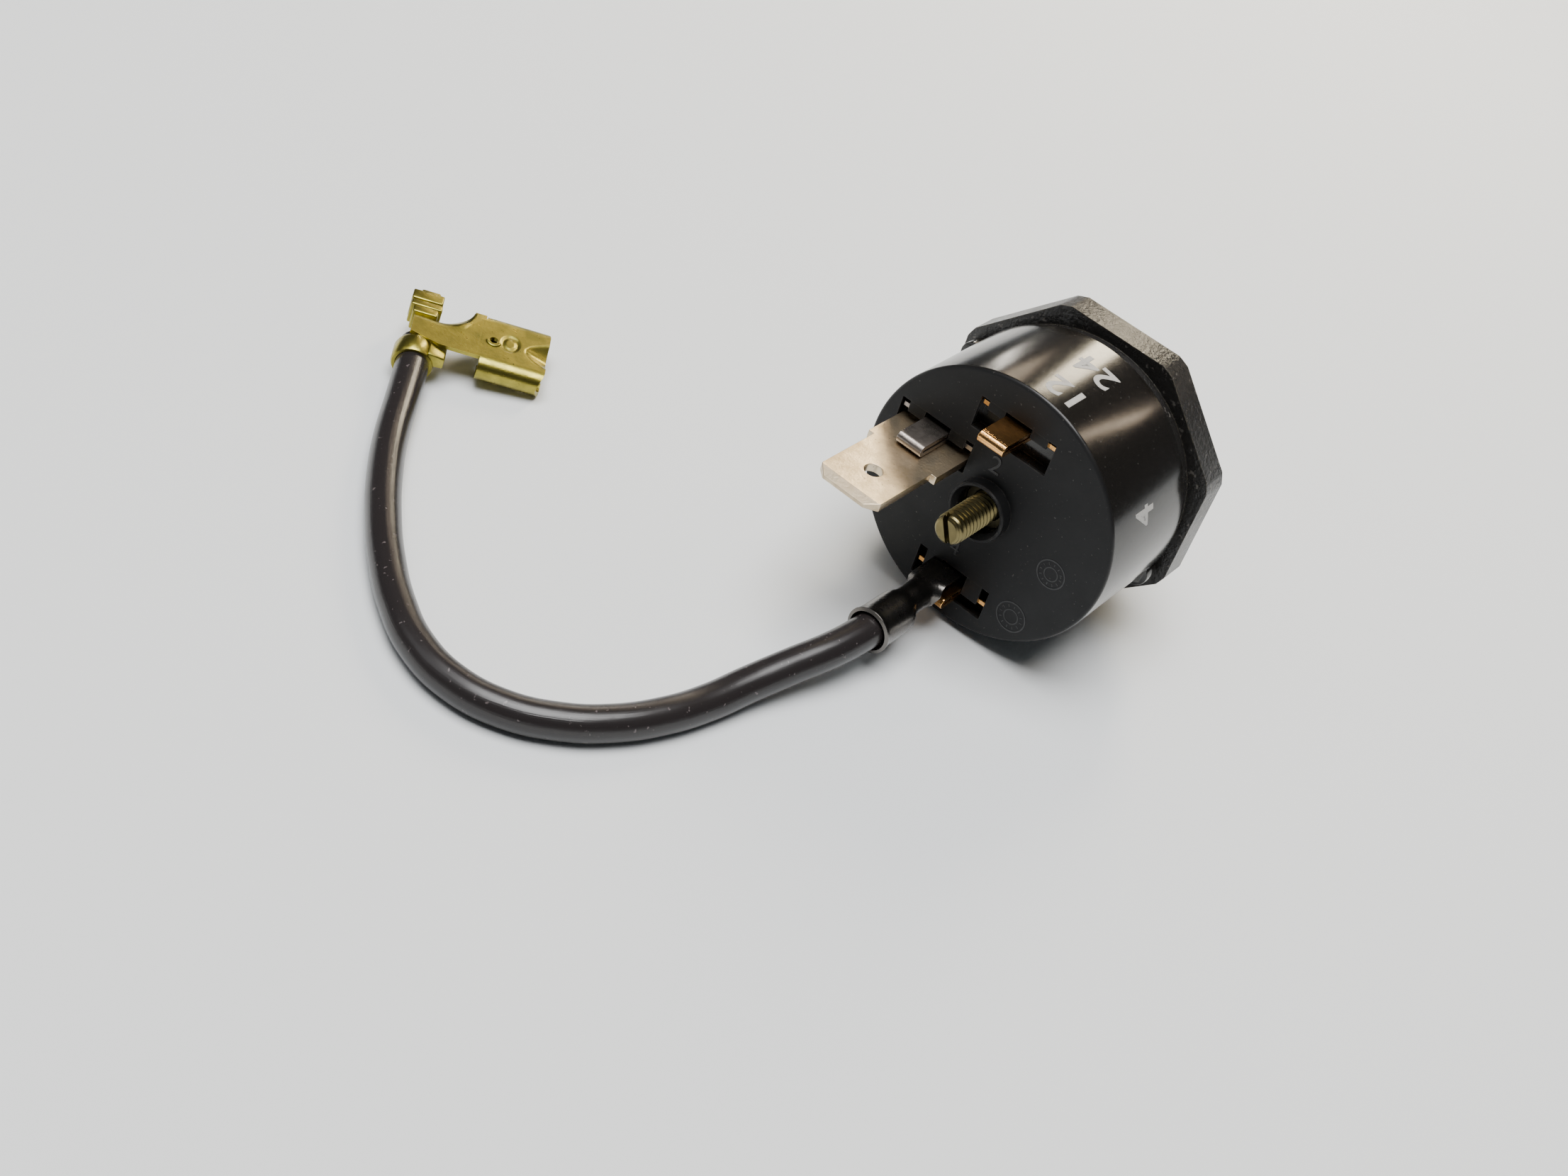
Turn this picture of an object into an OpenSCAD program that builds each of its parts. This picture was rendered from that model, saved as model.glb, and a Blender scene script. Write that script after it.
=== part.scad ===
// Adjustable snap-action pressure switch with a changeover contact, three
// terminals, a slotted adjusting screw and a short flying lead.
// Millimetres. Origin: on the switch's axis, in the sealing face of the port's
// washer. +Y points out of the port, +Z is up, and the terminals face -Y.

/* [Body] */
// Radius of the round housing
housing_r = 12.5; // [12.3:0.1:12.7]
// Length of the round housing
housing_len = 11.8; // [11.6:0.1:12]
// Thickness of the housing's end wall
face_wall = 2.6; // [2.4:0.1:2.8]
// Distance across the flats of the octagonal flange
flange_af = 26.2; // [26:0.1:26.6]
// Thickness of the octagonal flange
flange_len = 2.8; // [2.6:0.1:3]
// Radius of the rear cap where it meets the flange
cap_r = 12.2; // [12:0.1:12.3]
// Length of the rear cap
cap_len = 3.2; // [3.2:0.1:3.4]

/* [Port] */
// Thread of the port, major radius (G1/8)
port_r = 4.864; // [4.864:0.001:4.864]
// Length of the port thread
port_len = 6; // [6:0.5:8]
// Radius of the inlet bore
inlet_r = 1.5; // [1.2:0.1:2]
// Distance across the flats of the port's hexagon
port_hex_af = 14; // [13:0.5:15]

/* [Terminals] */
// Width of the blade terminal
tab_w = 6.3; // [6.3:0.1:6.3]
// Thickness of the blade terminal
tab_thick = 0.8; // [0.8:0.1:0.8]
// How far the blade terminal stands out of the face
tab_reach = 12.3; // [12:0.1:12.6]
// Width of the folded terminal strips
strip_w = 2.6; // [2.4:0.1:2.8]
// How far the folded strips stand out of the face
strip_reach = 3.8; // [3.4:0.1:4]

/* [Adjuster] */
// Radius of the adjusting screw
screw_r = 1.4; // [1.4:0.01:1.42]
// How far the adjusting screw stands out of the face
screw_reach = 5.5; // [5:0.1:6]
// Turns of the range spring
spring_turns = 6; // [5:1:7]

/* [Lead] */
// Outer radius of the lead's insulation
lead_r = 1.55; // [1.4:0.05:1.55]
// Radius of the stripped strands
strand_r = 0.9; // [0.7:0.05:0.9]

/* [Hidden] */
$fn = 64;
eps = 0.02;

// Distances along the axis, counted from the terminal face towards the port
neck_len = 1.2;                           // dark groove ahead of the flange
flange_t = housing_len + neck_len;        // front of the octagonal flange
cap_t = flange_t + flange_len;            // front of the rear cap
cap_back = cap_t + cap_len;               // back of the rear cap
hex_len = 2.4;
washer_len = 0.8;
seat_t = cap_back + hex_len + washer_len; // sealing face of the washer, and the origin
cavity_r = 11.2;
floor_z = -flange_af / 2;                 // the switch lies on this flange flat

// Terminals: centre of each pocket in x and z, and the z of each strip
pocket = [7.7, 3.1];
pocket_deep = 1.2;
pocket_1 = [-6.8, 3.2];
pocket_2 = [0, 7.8];
pocket_4 = [-0.3, -8.8];
strip_1_z = 3.1;
strip_2_z = 7.9;
strip_4_z = -9.8;
sheet = 0.45;                             // thickness of the terminal sheet
fold = 1.1;                               // height of a folded strip
tab_z = 2.2;                              // underside of the blade terminal
shoulder_w = 7.4;
shoulder_t = -4.3;

// Contact system
pin_x = -7;
pin_t = 8.2;
pin_r = 0.4;
blade_t = 8.08;
blade_thick = 0.25;
contact_x = 7.2;
contact_r = 0.9;
push_z = 3.85;                            // the collar's push pins, above and below

// Pressure side
bush_r = 2.15;
seat_front = 5.9;
spring_front = 6.9;
piston_t = 14.1;
spring_r = 2.45;
spring_wire = 0.28;

// Lead: crimp axis at terminal 4, and the flag receptacle's place
crimp_x = -1;
crimp_z = -9.3;
crimp_wall = 0.42;
strand_up = 0.57;                         // the strands lie this far above the lead's axis
flag_at = [-52.9, -14.5, floor_z + 2.3];
flag_turn = [4, 6, 40.5];
// Centre line of the lead, from the crimp to the flag receptacle
lead_route = [
    [-1, -7.2, -9.3], [-1, -10.8, -9.3], [-1.5, -14.5, -9.7], [-2.7, -18.7, -10.4],
    [-3.8, -22.6, -11.1], [-4.6, -26.4, -11.5], [-5.7, -30.4, -11.5], [-7.6, -34.4, -11.5],
    [-10.3, -37.8, -11.5], [-13.9, -40.4, -11.5], [-18.2, -41.6, -11.5], [-22.7, -41.2, -11.5],
    [-27.1, -39.4, -11.5], [-31.5, -36.7, -11.5], [-35.8, -33.4, -11.5], [-39.8, -29.8, -11.5],
    [-43.5, -25.9, -11.5], [-46.7, -21.95, -11.4], [-49.9, -18, -11.1],
    [-52.05, -15.5, -10.9]];

// Moves a shape drawn from the terminal face into the part's own frame
module from_face() translate([0, -seat_t, 0]) children();

// Round bar along the axis, from t0 to t1
module bar(r, t0, t1, r_end = -1)
    translate([0, t0, 0]) rotate([-90, 0, 0])
        cylinder(h = t1 - t0, r1 = r, r2 = r_end < 0 ? r : r_end);

// Plate along the axis, drawn in x and z, from t0 to t1
module plate(t0, t1)
    translate([0, t1, 0]) rotate([90, 0, 0]) linear_extrude(t1 - t0) children();

// Shape drawn as [t, z] and stretched along x, centred on x0
module across(x0, w)
    translate([x0 - w / 2, 0, 0]) rotate([90, 0, 90]) linear_extrude(w) children();

// Regular octagon or hexagon by its distance across flats
module flats(sides, af, t0, t1)
    translate([0, t0, 0]) rotate([-90, 0, 0]) rotate([0, 0, 180 / sides])
        cylinder(h = t1 - t0, r = af / 2 / cos(180 / sides), $fn = sides);

// ---------- casing ----------

module pocket_hole(at) translate([at[0], 0, at[1]])
    translate([-pocket[0] / 2, -1, -pocket[1] / 2]) cube([pocket[0], 1 + pocket_deep, pocket[1]]);

module strip_hole(x, z) translate([x - strip_w / 2, 0, z]) cube([strip_w, face_wall + 1, fold]);

// Two lugs that lock the flange to the housing, with a gap of room around them
module locking_lugs(gap) for (a = [157.5, -22.5]) rotate([0, -a, 0])
    translate([housing_r - 0.6, 0, 0]) bar(1.3 + gap, housing_len - 0.9 - gap, housing_len + 0.7 + gap);

module housing() {
    edge = 0.35;
    boss_r = 2.75;
    color("#1c1c1e") from_face() difference() {
        union() {
            rotate([-90, 0, 0]) rotate_extrude($fn = 128) polygon(concat(
                [[0, 0]],
                [for (a = [0:15:90]) [housing_r - edge + edge * sin(a), edge - edge * cos(a)]],
                [[housing_r, housing_len], [cavity_r, housing_len], [cavity_r, face_wall],
                 [0, face_wall]]));
            bar(boss_r, -1.3, 1);
            bar(3.6, 1, 4.6);
            locking_lugs(0);
        }
        bar(bush_r, -2, 5);
        bar(cavity_r, face_wall + 2.2, housing_len + 1);
        for (p = [pocket_1, pocket_2, pocket_4]) pocket_hole(p);
        strip_hole(pocket_1[0], strip_1_z);
        strip_hole(pocket_2[0], strip_2_z);
        strip_hole(pocket_4[0], strip_4_z);
        translate([pocket_1[0] - 1.3, 0, tab_z]) cube([2.6, face_wall + 1, tab_thick]);
    }
}

module flange_plate() {
    corner_r = 13.95;
    spigot_r = 11.15;
    throat_r = 7;
    color("#17171a") from_face() difference() {
        union() {
            intersection() {
                flats(8, flange_af, flange_t, cap_t);
                bar(corner_r, flange_t, cap_t, $fn = 128);
            }
            bar(12.1, housing_len, flange_t + 1, $fn = 128);
            bar(spigot_r, housing_len - 1.4, housing_len + 1);
        }
        bar(9.6, housing_len - 2, flange_t);
        bar(throat_r, flange_t - 1, cap_t + 1);
        locking_lugs(0.03);
    }
}

module rear_cap() {
    back_r = 10.8;
    color("#1a1a1d") from_face() difference() {
        union() {
            bar(cap_r, cap_t, cap_t + 1);
            bar(cap_r, cap_t + 1, cap_back, back_r);
        }
        bar(10.7, cap_t - 1, cap_t + 0.65);
        bar(7.2, cap_t, cap_back - 1.2);
        bar(4, cap_back - 2, cap_back + 1);
    }
}

// ---------- pressure side ----------

module port_fitting() {
    lead_in = 0.8;
    relief_r = 4.2;
    hex_t = cap_back + hex_len;
    end_t = seat_t + port_len;
    color("#b08d3c") from_face() difference() {
        union() {
            bar(6.5, cap_back - 2.2, cap_back - 1.2);
            bar(4, cap_back - 2, cap_back + 1);
            intersection() {
                flats(6, port_hex_af, cap_back, hex_t);
                bar(port_hex_af / 2 + 0.6, cap_back - 1, hex_t + 1);
            }
            bar(relief_r, hex_t - 1, seat_t + 1);
            bar(port_r, seat_t, end_t - lead_in);
            bar(port_r, end_t - lead_in, end_t, port_r - lead_in);
        }
        bar(inlet_r, cap_back - 3, end_t + 1);
    }
}

module port_washer() color("#8a4b32") from_face() difference() {
    bar(6.9, cap_back + hex_len, seat_t);
    bar(port_r + 0.08, cap_back, seat_t + 1);
}

module diaphragm() color("#2c2a28") from_face() difference() {
    bar(10.6, cap_t, cap_t + 0.6);
    // rolled groove that lets the middle move
    translate([0, cap_t + 0.6, 0]) rotate([90, 0, 0]) rotate_extrude()
        translate([6.9, 0]) circle(r = 0.3, $fn = 24);
}

module piston() color("#b9a98a") from_face() union() {
    bar(6.6, piston_t, cap_t - 0.1);
    bar(1.9, piston_t - 1.4, piston_t);
}

module push_collar() color("#d8d4c8") from_face() union() {
    difference() {
        bar(4.6, piston_t - 1.4, piston_t);
        bar(3.1, piston_t - 2, piston_t + 1);
    }
    for (s = [-1, 1]) translate([0, 0, s * push_z]) bar(0.5, blade_t + blade_thick + 0.07, piston_t - 1.3);
}

// Coil of round wire along the axis, swept through rings of points
module coil(r, wire, t0, t1, turns) {
    per_turn = 20;
    sides = 8;
    rings = turns * per_turn;
    rise = (t1 - t0 - 2 * wire) / rings;
    points = [for (i = [0:rings]) for (j = [0:sides - 1])
        let (a = 360 * i / per_turn, b = 360 * j / sides, d = r + wire * cos(b))
        [d * cos(a), t0 + wire + rise * i + wire * sin(b), d * sin(a)]];
    skin = [for (i = [0:rings - 1]) for (j = [0:sides - 1])
        let (k = (j + 1) % sides, p = i * sides)
        [p + j, p + k, p + k + sides, p + j + sides]];
    ends = [[for (j = [0:sides - 1]) sides - 1 - j], [for (j = [0:sides - 1]) rings * sides + j]];
    polyhedron(points, concat(skin, ends), convexity = 10);
}

module range_spring() color("#9a9ca0") from_face()
    coil(spring_r, spring_wire, spring_front + 0.02, piston_t - 0.02, spring_turns);

module spring_seat() color("#c9a646") from_face() union() {
    bar(3, seat_front, spring_front);
    bar(1.9, spring_front - eps, spring_front + 1);
}

module adjusting_screw() {
    slot_w = 0.5;
    slot_deep = 1.1;
    slot_angle = 27;
    color("#a58c4a") from_face() difference() {
        union() {
            bar(screw_r - 0.3, -screw_reach, -screw_reach + 0.3, screw_r);
            bar(screw_r, -screw_reach + 0.3, seat_front - 0.03);
        }
        rotate([0, slot_angle, 0]) translate([-2, -screw_reach - 1, -slot_w / 2])
            cube([4, slot_deep + 1, slot_w]);
    }
}

module threaded_bush() color("#b4923f") from_face() difference() {
    bar(bush_r, 0.6, 4.6);
    bar(screw_r + 0.03, 0, 6);
}

// ---------- terminals ----------

module terminal_1_tab() {
    bevel = 1;
    tip_slope = 14;
    tip_cut = 0.22;
    hole_t = -8.3;
    half = tab_w / 2;
    color("#c8c3b8") from_face() translate([pocket_1[0], 0, tab_z]) difference() {
        linear_extrude(tab_thick) polygon([
            [-1.3, face_wall], [-1.3, 1.1], [-shoulder_w / 2, 1.1], [-shoulder_w / 2, shoulder_t],
            [-half, shoulder_t], [-half, -tab_reach + bevel], [-half + bevel, -tab_reach],
            [half - bevel, -tab_reach], [half, -tab_reach + bevel], [half, shoulder_t],
            [shoulder_w / 2, shoulder_t], [shoulder_w / 2, 1.1], [1.3, 1.1], [1.3, face_wall]]);
        translate([0, hole_t, -1]) cylinder(h = 3, r = 0.825);
        // both faces slope towards the tip
        for (up = [0, 1]) translate([0, -tab_reach, up * tab_thick]) mirror([0, 0, up])
            rotate([-tip_slope, 0, 0]) translate([-4, -1, tip_cut - 2]) cube([8, 3, 2]);
    }
}

// Strip folded double above the face, with two wings in the pocket and one leg inside
module folded_strip(x, z, reach, leg_t) translate([0, 0, z]) {
    bend_t = -reach + fold / 2;
    across(x, strip_w) union() {
        translate([bend_t, 0]) square([leg_t - bend_t, sheet]);
        translate([bend_t, fold - sheet]) square([1.15 - bend_t, sheet]);
        difference() {
            translate([bend_t, fold / 2]) circle(r = fold / 2);
            translate([bend_t, fold / 2]) circle(r = fold / 2 - sheet);
            translate([bend_t, -1]) square([3, 4]);
        }
    }
    translate([x - 3.75, 0.35, fold - sheet]) cube([7.5, 0.8, sheet]);
}

module terminal_1_strip() {
    ear_t = pin_t + 1;
    foot_t = 6.6;
    color("#a9a6a0") from_face() union() {
        folded_strip(pocket_1[0], strip_1_z, strip_reach, foot_t + sheet);
        plate(foot_t, foot_t + sheet) translate([pin_x - 1.1, -2.2])
            square([2.5, strip_1_z + sheet + 2.2]);
        for (z = [-2.2, 1.75]) difference() {
            translate([pin_x - 0.9, foot_t, z]) cube([1.8, ear_t - foot_t, sheet]);
            translate([pin_x, pin_t, z - 1]) cylinder(h = 3, r = pin_r);
        }
    }
}

// Flat arm inside the housing, from a strip's leg round to its fixed contact
module contact_arm(root, t0, up) plate(t0, t0 + sheet) scale([1, up]) polygon([
    [-1.6, root], [1.3, root], [8.2, 4.5], [8.2, -1.2], [6.1, -1.2], [6.1, 3.6], [0.6, root - 1.4],
    [-1.6, root - 1.4]]);

module terminal_2_strip() {
    arm_t = 10.2;
    color("#c77b3a") from_face() union() {
        folded_strip(pocket_2[0], strip_2_z, strip_reach, arm_t + sheet);
        contact_arm(strip_2_z + sheet, arm_t, 1);
    }
}

module terminal_4_strip() {
    arm_t = 4.9;
    color("#b97441") from_face() union() {
        folded_strip(pocket_4[0], strip_4_z, strip_reach - 1, arm_t + sheet);
        contact_arm(-strip_4_z, arm_t, -1);
    }
}

// ---------- contacts ----------

module blade_pin() color("#b8bcc0") from_face()
    translate([pin_x, pin_t, -2.2]) cylinder(h = 4.4, r = pin_r);

module contact_blade() color("#c98a4b") from_face() difference() {
    union() {
        plate(blade_t, blade_t + blade_thick) polygon([
            [pin_x + 0.4, -1.4], [-2, -4.5], [2, -4.5], [8.3, -1.3],
            [8.3, 1.3], [2, 4.5], [-2, 4.5], [pin_x + 0.4, 1.4]]);
        translate([pin_x, pin_t, -1.4]) cylinder(h = 2.8, r = 0.75);
    }
    translate([pin_x, pin_t, -3]) cylinder(h = 6, r = pin_r + 0.03);
    bar(3.4, blade_t - 1, blade_t + 2);
    translate([contact_x, 0, 0]) bar(0.45, blade_t - 1, blade_t + 2);
}

// Contact rivet: two heads and a shank, along the axis
module rivet(t0, neck0, neck1, t1) translate([contact_x, 0, 0]) union() {
    bar(contact_r, t0, neck0);
    bar(0.45, neck0 - 0.1, neck1 + 0.1);
    bar(contact_r, neck1, t1);
}

module moving_contact() color("#d9dadc") from_face()
    rivet(7.45, blade_t, blade_t + blade_thick, 9);

module fixed_contact_2() color("#d9dadc") from_face() translate([contact_x, 0, 0])
    bar(contact_r, 9.05, 10.2);

module fixed_contact_4() color("#d9dadc") from_face() translate([contact_x, 0, 0])
    bar(contact_r, 4.9 + sheet, 6.3);

// ---------- lead ----------

// Crimp terminal: tongue in the pocket, open wings on the strands, barrel on the insulation
module lead_crimp() {
    outer = lead_r + crimp_wall;
    mouth_t = -10.8;
    back_t = -6.6;
    top_z = crimp_z + outer;
    color("#4b4844") from_face() union() {
        difference() {
            translate([crimp_x, 0, crimp_z]) union() {
                bar(outer, mouth_t + 1, back_t);
                bar(outer + 0.35, mouth_t, mouth_t + 1, outer);
            }
            translate([crimp_x, 0, crimp_z]) bar(lead_r + 0.01, mouth_t - 1, back_t + 1);
            translate([crimp_x, 0, crimp_z]) bar(lead_r + 0.3, mouth_t - 0.1, mouth_t + 0.7, lead_r);
        }
        translate([crimp_x - 1.5, back_t - 0.3, top_z - crimp_wall - 0.08]) cube([3, 7.7, crimp_wall]);
        difference() {
            translate([crimp_x - 1.3, back_t + 0.3, top_z - 2.5]) cube([2.6, 2.9, 2.1]);
            translate([crimp_x, 0, crimp_z + strand_up]) bar(strand_r, back_t, 0);
        }
    }
}

// Unit vectors along the route, and a sideways frame that never twists
function step(i) =
    let (d = lead_route[min(i + 1, len(lead_route) - 1)] - lead_route[max(i - 1, 0)]) d / norm(d);
function side(i) = let (c = cross(step(i), [0, 0, 1])) c / norm(c);

module lead_wire() {
    sides = 8;
    n = len(lead_route);
    points = [for (i = [0:n - 1]) for (j = [0:sides - 1])
        let (a = 360 * (j + 0.5) / sides, s = side(i), u = cross(s, step(i)))
        lead_route[i] + lead_r * (cos(a) * s + sin(a) * u)];
    skin = [for (i = [0:n - 2]) for (j = [0:sides - 1])
        let (k = (j + 1) % sides, p = i * sides)
        [p + j, p + j + sides, p + k + sides, p + k]];
    ends = [[for (j = [0:sides - 1]) j], [for (j = [0:sides - 1]) n * sides - 1 - j]];
    color("#101012") from_face() polyhedron(points, concat(skin, ends), convexity = 10);
}

module in_flag() from_face() translate(flag_at) rotate(flag_turn) children();

module lead_strands() color("#b9713a") {
    from_face() translate([crimp_x, 0, crimp_z + strand_up]) bar(strand_r, -7.2, -3.1);
    in_flag() translate([0, 0, 0.6]) bar(strand_r, -1.3, 4.9);
}

// Flag receptacle for a 6.3 mm blade: insulation wrap, neck, strand crimp and rolled box
module flag_receptacle() {
    wall = 0.4;
    top = lead_r + wall;
    box_x = 5.4;
    box_len = 6.5;
    box_w = 7.7;
    roll_r = 1.3;
    color("#c9a227") in_flag() union() {
        // wrap on the insulation
        difference() {
            bar(top, -4.4, -2.2);
            bar(lead_r + 0.01, -5, -1);
        }
        // neck, widening into the box
        translate([0, 0, top - wall]) linear_extrude(wall) polygon([
            [-0.9, -1.9], [1.9, -2.75], [box_x + 0.2, -2.75], [box_x + 0.2, 3.3], [4.5, 3.3],
            [4, 2.3], [3.3, 1.6], [2.4, 1.15], [1.5, 1.3], [-1.5, 1.3], [-0.9, 0.6]]);
        // crimp on the strands
        difference() {
            translate([-1.5, 1.2, -0.5]) cube([3, 3.5, top + 0.5]);
            translate([0, 0, 0.6]) bar(strand_r, 0, 6);
        }
        // box: flat back plate and two rolled edges that curl over the blade
        translate([box_x, -box_w / 2 + roll_r, top - wall]) cube([box_len, box_w - 2 * roll_r, wall]);
        for (s = [-1, 1]) translate([box_x, s * (box_w / 2 - roll_r), top - roll_r]) rotate([0, 90, 0])
            difference() {
                cylinder(h = box_len, r = roll_r, $fn = 32);
                translate([0, 0, -1]) cylinder(h = box_len + 2, r = roll_r - wall, $fn = 32);
                // the roll's open side, towards the blade
                translate([-0.45, -s * 1.7 - 1, -1]) cube([0.9, 2, box_len + 2]);
            }
    }
}

housing();
flange_plate();
rear_cap();
port_fitting();
port_washer();
diaphragm();
piston();
push_collar();
range_spring();
spring_seat();
adjusting_screw();
threaded_bush();
terminal_1_tab();
terminal_1_strip();
terminal_2_strip();
terminal_4_strip();
blade_pin();
contact_blade();
moving_contact();
fixed_contact_2();
fixed_contact_4();
lead_crimp();
lead_wire();
lead_strands();
flag_receptacle();
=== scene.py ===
# %% [markdown]
# # An adjustable pressure switch, piece by piece
# The imported CAD model comes in first as a fixed frame. Every piece below is built around it in
# the same metres, so none has to be fitted afterwards. The box of that model is kept, and is
# printed beside the box of the finished look at the end.

# %% Load the frame
import math
import bmesh
import bpy
from mathutils import Matrix, Vector


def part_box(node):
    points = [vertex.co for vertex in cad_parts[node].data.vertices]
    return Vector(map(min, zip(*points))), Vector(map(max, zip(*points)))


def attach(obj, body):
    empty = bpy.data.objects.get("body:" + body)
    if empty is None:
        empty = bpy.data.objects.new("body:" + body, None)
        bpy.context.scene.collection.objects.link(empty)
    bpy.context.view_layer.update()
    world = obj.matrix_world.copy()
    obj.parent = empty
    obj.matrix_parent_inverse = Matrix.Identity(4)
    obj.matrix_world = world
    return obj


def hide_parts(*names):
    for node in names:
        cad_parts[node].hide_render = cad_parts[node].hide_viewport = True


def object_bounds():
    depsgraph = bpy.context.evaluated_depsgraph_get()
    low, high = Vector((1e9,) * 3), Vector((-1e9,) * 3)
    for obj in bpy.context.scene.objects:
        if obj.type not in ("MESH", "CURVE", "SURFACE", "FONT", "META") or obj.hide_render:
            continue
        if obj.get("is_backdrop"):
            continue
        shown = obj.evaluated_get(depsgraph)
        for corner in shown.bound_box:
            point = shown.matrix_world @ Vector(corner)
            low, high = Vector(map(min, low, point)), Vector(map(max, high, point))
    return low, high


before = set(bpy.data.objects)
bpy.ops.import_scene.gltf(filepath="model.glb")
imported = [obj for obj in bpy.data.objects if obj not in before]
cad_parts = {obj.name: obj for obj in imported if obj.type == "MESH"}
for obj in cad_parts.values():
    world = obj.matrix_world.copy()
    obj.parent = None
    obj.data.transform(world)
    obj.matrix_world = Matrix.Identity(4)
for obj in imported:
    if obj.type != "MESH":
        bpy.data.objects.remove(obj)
cad_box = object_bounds()
MM = 0.001
TAU = math.tau

# %% [markdown]
# The makers of such a switch dimension it from its terminal face, so this script does too: x to
# the right, t in millimetres behind the face, z up. The face is found on the frame, a boss
# height behind the housing's foremost point.

# %% Places
BOSS_RISE = 1.3
housing_len, housing_r = 11.8, 12.5
face_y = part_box("housing")[0].y + BOSS_RISE * MM
floor_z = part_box("flange_plate")[0].z
FROM_FACE = Matrix.Translation((0, face_y, 0)) @ Matrix.Scale(MM, 4)


def at_face(x, t, z):
    """A point given from the terminal face in millimetres, in the frame's metres."""
    return FROM_FACE @ Vector((x, t, z))


print("terminal face at y =", round(face_y, 5))

# %% [markdown]
# The camera comes before the pieces, because the lead has to fit in its view. Turning a camera
# by azimuth, elevation and roll keeps its three angles readable.

# %% Camera
azimuth, elevation, roll = (math.radians(angle) for angle in (28.25, 40.09, 18.63))
camera_place = at_face(49.98, -122.14, 95.04)
focal_length, film_width = 43.94, 36

lens = bpy.data.cameras.new("camera")
lens.lens, lens.sensor_width = focal_length, film_width
lens.clip_start, lens.clip_end = 0.01, 20
camera = bpy.data.objects.new("camera", lens)
bpy.context.scene.collection.objects.link(camera)
turn = Matrix.Rotation(azimuth, 4, "Z") @ Matrix.Rotation(math.pi / 2 - elevation, 4, "X")
camera.matrix_world = Matrix.Translation(camera_place) @ turn @ Matrix.Rotation(roll, 4, "Z")
bpy.context.scene.camera = camera
print("camera at", tuple(round(c, 4) for c in camera.location))

# %% [markdown]
# ## Helpers
# A piece is drawn in millimetres from the face, then its mesh is scaled and moved, and its
# object stays at the origin. That keeps patterns on Object coordinates where they belong.


# %% Finish a piece
def shade(mesh, angle=32):
    """Smooth shading, apart from edges sharper than the angle."""
    for face in mesh.polygons:
        face.use_smooth = True
    mesh.set_sharp_from_angle(angle=math.radians(angle))


def piece(bm, name, material, body, nodes=(), place=FROM_FACE, angle=32):
    """Makes the bmesh a finished piece that rides on a body and stands for CAD nodes."""
    bmesh.ops.remove_doubles(bm, verts=bm.verts, dist=1e-4)
    bmesh.ops.transform(bm, matrix=place, verts=bm.verts)
    mesh = bpy.data.meshes.new(name)
    bm.to_mesh(mesh)
    bm.free()
    shade(mesh, angle)
    obj = bpy.data.objects.new(name, mesh)
    bpy.context.scene.collection.objects.link(obj)
    obj.data.materials.append(material)
    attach(obj, body)
    if nodes:
        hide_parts(*nodes)
    print(f"{name}: {len(mesh.polygons)} faces")
    return obj


def soften(obj, width, segments=2, angle=30):
    """Rounds the sharp edges with a live Bevel modifier, width in millimetres."""
    bevel = obj.modifiers.new("soft_edges", "BEVEL")
    bevel.width = width * MM
    bevel.segments = segments
    bevel.limit_method = "ANGLE"
    bevel.angle_limit = math.radians(angle)
    bevel.harden_normals = True


# %% [markdown]
# Most turned parts are an outline of (radius, t) points spun once round the axis. An outline
# that closes on itself makes a ring; one that starts and ends on the axis makes a solid.


# %% Spin an outline
def lathe(bm, outline, steps=96, closed=False, centre=(0, 0)):
    """Spins an outline of (radius, t) points round an axis along t through centre (x, z)."""
    x, z = centre
    verts = [bm.verts.new((x + r, t, z)) for r, t in outline]
    pairs = list(zip(verts, verts[1:] + verts[:1] if closed else verts[1:]))
    edges = [bm.edges.new(pair) for pair in pairs]
    bmesh.ops.spin(bm, geom=verts + edges, cent=(x, 0, z), axis=(0, 1, 0), dvec=(0, 0, 0),
                   angle=TAU, steps=steps, use_merge=True, use_duplicate=False)
    bmesh.ops.remove_doubles(bm, verts=bm.verts, dist=1e-4)
    bmesh.ops.recalc_face_normals(bm, faces=bm.faces)


def arc(cx, ct, radius, start, end, steps):
    """Points of an arc in (radius, t), angles in degrees."""
    return [(cx + radius * math.cos(math.radians(start + (end - start) * i / steps)),
             ct + radius * math.sin(math.radians(start + (end - start) * i / steps)))
            for i in range(steps + 1)]


def box(bm, low, high):
    """A block between two corners; its vertices are the result."""
    size = [h - l for l, h in zip(low, high)]
    middle = [(h + l) / 2 for l, h in zip(low, high)]
    place = Matrix.Translation(middle) @ Matrix.Diagonal((*size, 1))
    return bmesh.ops.create_cube(bm, size=1, matrix=place)["verts"]


def cylinder(bm, radius, length, place, sides=40):
    """A cylinder along the z axis of its place."""
    bmesh.ops.create_cone(bm, cap_ends=True, segments=sides, radius1=radius, radius2=radius,
                          depth=length, matrix=place)


def rod(bm, centre, radius, t0, t1, sides=40):
    """A cylinder along t, through centre (x, z)."""
    middle = Matrix.Translation((centre[0], (t0 + t1) / 2, centre[1]))
    cylinder(bm, radius, t1 - t0, middle @ Matrix.Rotation(-math.pi / 2, 4, "X"), sides)


def joined(parts):
    """One bmesh out of several, which are used up."""
    whole = bmesh.new()
    for part in parts:
        mesh = bpy.data.meshes.new("scratch")
        part.to_mesh(mesh)
        part.free()
        whole.from_mesh(mesh)
        bpy.data.meshes.remove(mesh)
    return whole


# %% [markdown]
# Pockets and slots are cut with a Boolean modifier that is applied at once, because a bmesh has
# no operator for it. The cutter is a throwaway object.


# %% Cut one shape from another
def mesh_of(bm):
    """A throwaway object of a bmesh in millimetres."""
    mesh = bpy.data.meshes.new("scratch")
    bm.to_mesh(mesh)
    bm.free()
    obj = bpy.data.objects.new("scratch", mesh)
    bpy.context.scene.collection.objects.link(obj)
    return obj


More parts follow.
